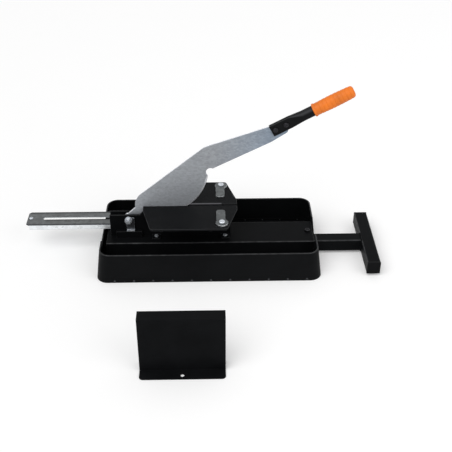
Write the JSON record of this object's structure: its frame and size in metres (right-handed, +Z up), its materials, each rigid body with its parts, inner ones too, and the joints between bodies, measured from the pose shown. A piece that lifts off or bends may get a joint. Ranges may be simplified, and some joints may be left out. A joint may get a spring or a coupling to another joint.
{
  "type": "laminate flooring cutter",
  "caption": "Bench guillotine for laminate planks: a long lever blade over a slit table on a tray base, with a slotted rail, a pull-out T foot and a separate plank stand.",
  "frame": {"origin": "on the floor, in the blade's plane, at the middle of the tray base's length", "axes": "+X along the blade towards the handle and the T foot, +Y away from the user, +Z up"},
  "size_m": [0.9405, 0.6468, 0.4842],
  "materials": {
    "black_plastic": "fine-grained moulded black",
    "black_paint": "satin black powder coat",
    "pan_paint": "satin black paint",
    "stand_paint": "satin black paint on folded sheet",
    "galvanised": "zinc-plated sheet",
    "blade_steel": "bright plate with faint mottling",
    "zinc": "bright zinc",
    "tool_steel": "black oxide, ground on top",
    "dark_steel": "blackened, rubbed on the edges",
    "bronze": "plain bearing bronze",
    "rubber": "matt",
    "orange": "soft orange grip",
    "nylon": "plain machined nylon"
  },
  "bodies": {
    "base": {"base_wall": "black_plastic", "floor_pan": "pan_paint", "pan_rivets": "zinc", "main_beam": "black_paint", "beam_bolts": "zinc", "blade_channel": "black_paint", "channel_ledge": "black_paint", "frame_bolts": "zinc", "front_table": "black_paint", "back_table": "black_paint", "front_gusset_left": "black_paint", "front_gusset_right": "black_paint", "back_gusset_left": "black_paint", "back_gusset_right": "black_paint", "counter_blade": "tool_steel", "counter_screws": "zinc", "stop_bolts": "zinc", "stop_nuts": "zinc", "pivot_bolt": "zinc", "pivot_nut": "zinc", "pivot_washer": "zinc", "pivot_spacers": "zinc", "pivot_strap": "galvanised", "lower_buffer": "rubber", "buffer_bolt": "zinc", "buffer_nut": "zinc", "rail_guide": "nylon", "guide_screws": "zinc", "clamp_stud": "zinc", "clamp_washer": "zinc", "clamp_nut": "zinc", "inner_stem_guide": "nylon", "outer_stem_guide": "nylon", "stem_lock_screw": "dark_steel"},
    "blade_arm": {"blade": "blade_steel", "pivot_bush": "bronze", "handle_tube": "black_paint", "handle_bolts": "dark_steel", "handle_nuts": "dark_steel", "grip": "orange"},
    "fence_rail": {"rail": "galvanised", "rail_end_screw": "zinc"},
    "foot_bar": {"foot_stem": "black_paint", "foot_crossbar": "black_paint", "crossbar_caps": "black_plastic", "foot_pads": "rubber", "stem_stop_pin": "zinc"},
    "near_stop": {"front_stop": "galvanised"},
    "far_stop": {"back_stop": "galvanised"},
    "stand": {"support_stand": "stand_paint"}
  },
  "joints": [
    {"name": "blade_pivot", "type": "hinge", "parent": "base", "child": "blade_arm", "pos_m": [-0.212, 0, 0.1145], "axis": [0, -1, 0], "range_deg": [-27.5, 45]},
    {"name": "rail_slide", "type": "slide", "parent": "base", "child": "fence_rail", "axis": [1, 0, 0], "range_m": [0, 0.12]},
    {"name": "foot_slide", "type": "slide", "parent": "base", "child": "foot_bar", "axis": [1, 0, 0], "range_m": [-0.112, 0]},
    {"name": "near_stop_swivel", "type": "hinge", "parent": "base", "child": "near_stop", "pos_m": [0.034, -0.0915, 0.15], "axis": [0, 0, -1], "range_deg": [0, 90]},
    {"name": "far_stop_swivel", "type": "hinge", "parent": "base", "child": "far_stop", "pos_m": [0.034, 0.0915, 0.15], "axis": [0, 0, 1], "range_deg": [0, 90]},
    {"name": "stand_slide", "type": "slide", "parent": "base", "child": "stand", "axis": [0, 1, 0], "range_m": [-0.25, 0.15]}
  ]
}
